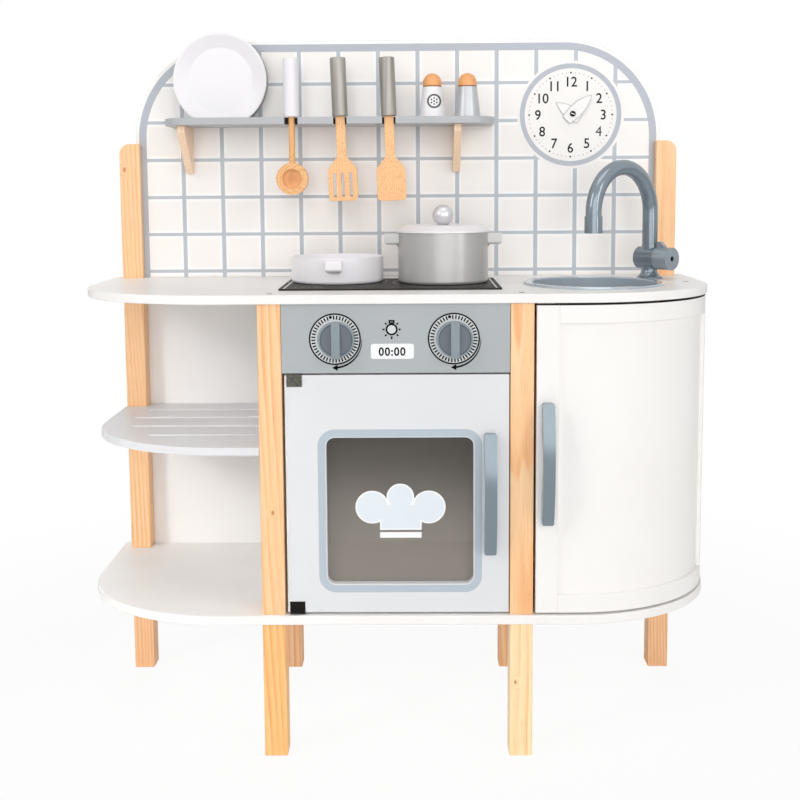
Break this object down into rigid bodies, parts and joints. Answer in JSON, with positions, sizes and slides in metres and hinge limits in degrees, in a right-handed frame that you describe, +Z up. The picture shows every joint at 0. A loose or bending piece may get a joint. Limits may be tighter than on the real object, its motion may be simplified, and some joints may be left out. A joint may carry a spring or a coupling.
{
  "type": "toy kitchen",
  "caption": "Free-standing wooden play kitchen with an oven, a curved cupboard door, an open bay, a hob, a sink with tap, a tiled splashback with clock, a narrow shelf and toy cookware.",
  "frame": {"origin": "on the floor, under the middle of the whole kitchen with its handles", "axes": "+Z up, +X to the right seen from the front, the doors face -Y"},
  "size_m": [0.785, 0.2994, 0.8858],
  "materials": {
    "white_board": "fibreboard, white satin-gloss lacquer",
    "printed_board": "fibreboard, white lacquer with a printed grey-blue tile grid and clock face",
    "grey_board": "fibreboard, mid-grey satin lacquer",
    "pale_board": "fibreboard, pale blue-grey satin lacquer",
    "pine": "solid pine, clear matt lacquer",
    "beech": "solid beech, oiled",
    "white_painted_wood": "turned wood, white satin paint",
    "grey_painted_wood": "turned wood, grey satin paint",
    "silver_painted_wood": "turned wood, silver-grey satin paint",
    "slate_plastic": "moulded, slate grey, glossy",
    "hob_film": "black printed sheet, glossy",
    "tinted_window": "clear grey-brown acrylic with a printed hat motif",
    "steel": "zinc-plated steel",
    "magnet_block": "matt housing over a magnet"
  },
  "bodies": {
    "frame": {"worktop": "white_board", "bottom_board": "white_board", "middle_shelf": "grey_board", "splashback": "printed_board", "back_panel": "white_board", "rear_post_left": "pine", "rear_post_right": "pine", "front_post_left": "pine", "front_post_right": "pine", "front_legs": "pine", "rear_legs": "pine", "oven_side_left": "white_board", "oven_side_right": "white_board", "control_panel": "grey_board", "pivot_bushes": "steel", "door_magnets": "magnet_block", "cupboard_jamb": "pine", "cupboard_side": "white_board", "sink_bowl": "slate_plastic", "tap_base": "slate_plastic", "tap_barrel": "slate_plastic", "hob_plate": "hob_film", "wall_shelf": "grey_board", "shelf_brackets": "pine", "clock_pin": "steel", "assembly_screws": "steel"},
    "oven_door": {"oven_door": "pale_board", "oven_window": "tinted_window", "oven_handle": "slate_plastic", "oven_door_plates": "steel"},
    "cupboard_door": {"cupboard_stile_left": "white_board", "cupboard_stile_right": "white_board", "cupboard_rail_top": "white_board", "cupboard_rail_bottom": "white_board", "cupboard_panel": "white_board", "cupboard_handle": "slate_plastic", "cupboard_door_plates": "steel"},
    "knob_left": {"knob_left": "slate_plastic"},
    "knob_right": {"knob_right": "slate_plastic"},
    "hour_hand": {"clock_hour_hand": "white_painted_wood"},
    "minute_hand": {"clock_minute_hand": "white_painted_wood"},
    "spout": {"tap_spout": "slate_plastic"},
    "lever": {"tap_lever": "slate_plastic", "tap_screw": "steel"},
    "pan": {"pan": "white_painted_wood"},
    "pot": {"pot": "silver_painted_wood"},
    "lid": {"pot_lid": "silver_painted_wood", "lid_knob": "silver_painted_wood"},
    "white_plate": {"plate_white": "white_painted_wood"},
    "grey_plate": {"plate_grey": "grey_painted_wood"},
    "ladle": {"ladle_grip": "white_painted_wood", "ladle_blade": "beech"},
    "slotted_turner": {"slotted_turner_grip": "grey_painted_wood", "slotted_turner_blade": "beech"},
    "turner": {"turner_grip": "grey_painted_wood", "turner_blade": "beech"},
    "salt": {"salt_body": "white_painted_wood", "salt_cap": "beech"},
    "pepper": {"pepper_body": "grey_painted_wood", "pepper_cap": "beech"}
  },
  "joints": [
    {"name": "oven_door_hinge", "type": "hinge", "parent": "frame", "child": "oven_door", "pos_m": [-0.124, -0.11975, 0.3208], "axis": [0, 0, -1], "range_deg": [0, 100]},
    {"name": "cupboard_door_hinge", "type": "hinge", "parent": "frame", "child": "cupboard_door", "pos_m": [0.38184, -0.00037, 0.361], "axis": [0, 0, 1], "range_deg": [0, 95]},
    {"name": "knob_left_turn", "type": "hinge", "parent": "frame", "child": "knob_left", "pos_m": [-0.0685, -0.12575, 0.5052], "axis": [0, 1, 0], "continuous": true},
    {"name": "knob_right_turn", "type": "hinge", "parent": "frame", "child": "knob_right", "pos_m": [0.0685, -0.12575, 0.5052], "axis": [0, 1, 0], "continuous": true},
    {"name": "hour_hand_turn", "type": "hinge", "parent": "frame", "child": "hour_hand", "pos_m": [0.239, 0.13325, 0.7776], "axis": [0, 1, 0], "continuous": true},
    {"name": "minute_hand_turn", "type": "hinge", "parent": "frame", "child": "minute_hand", "pos_m": [0.239, 0.13175, 0.7776], "axis": [0, 1, 0], "continuous": true},
    {"name": "spout_swivel", "type": "hinge", "parent": "frame", "child": "spout", "pos_m": [0.33333, 0.07047, 0.6035], "axis": [0, 0, 1], "range_deg": [-65, 65]},
    {"name": "lever_turn", "type": "hinge", "parent": "frame", "child": "lever", "pos_m": [0.34239, 0.05979, 0.585], "axis": [0.6468, -0.7627, 0], "range_deg": [-60, 60]},
    {"name": "pan_lift", "type": "slide", "parent": "frame", "child": "pan", "axis": [0, 0, 1], "range_m": [0, 0.05]},
    {"name": "pot_lift", "type": "slide", "parent": "frame", "child": "pot", "axis": [0, 0, 1], "range_m": [0, 0.05]},
    {"name": "lid_lift", "type": "slide", "parent": "pot", "child": "lid", "axis": [0, 0, 1], "range_m": [0, 0.05]},
    {"name": "white_plate_lift", "type": "slide", "parent": "frame", "child": "white_plate", "axis": [0, 0, 1], "range_m": [0, 0.07]},
    {"name": "grey_plate_lift", "type": "slide", "parent": "frame", "child": "grey_plate", "axis": [0, 0, 1], "range_m": [0, 0.07]},
    {"name": "ladle_unhook", "type": "slide", "parent": "frame", "child": "ladle", "axis": [0, -1, 0], "range_m": [0, 0.016]},
    {"name": "slotted_turner_unhook", "type": "slide", "parent": "frame", "child": "slotted_turner", "axis": [0, -1, 0], "range_m": [0, 0.016]},
    {"name": "turner_unhook", "type": "slide", "parent": "frame", "child": "turner", "axis": [0, -1, 0], "range_m": [0, 0.016]},
    {"name": "salt_lift", "type": "slide", "parent": "frame", "child": "salt", "axis": [0, 0, 1], "range_m": [0, 0.06]},
    {"name": "pepper_lift", "type": "slide", "parent": "frame", "child": "pepper", "axis": [0, 0, 1], "range_m": [0, 0.06]}
  ]
}
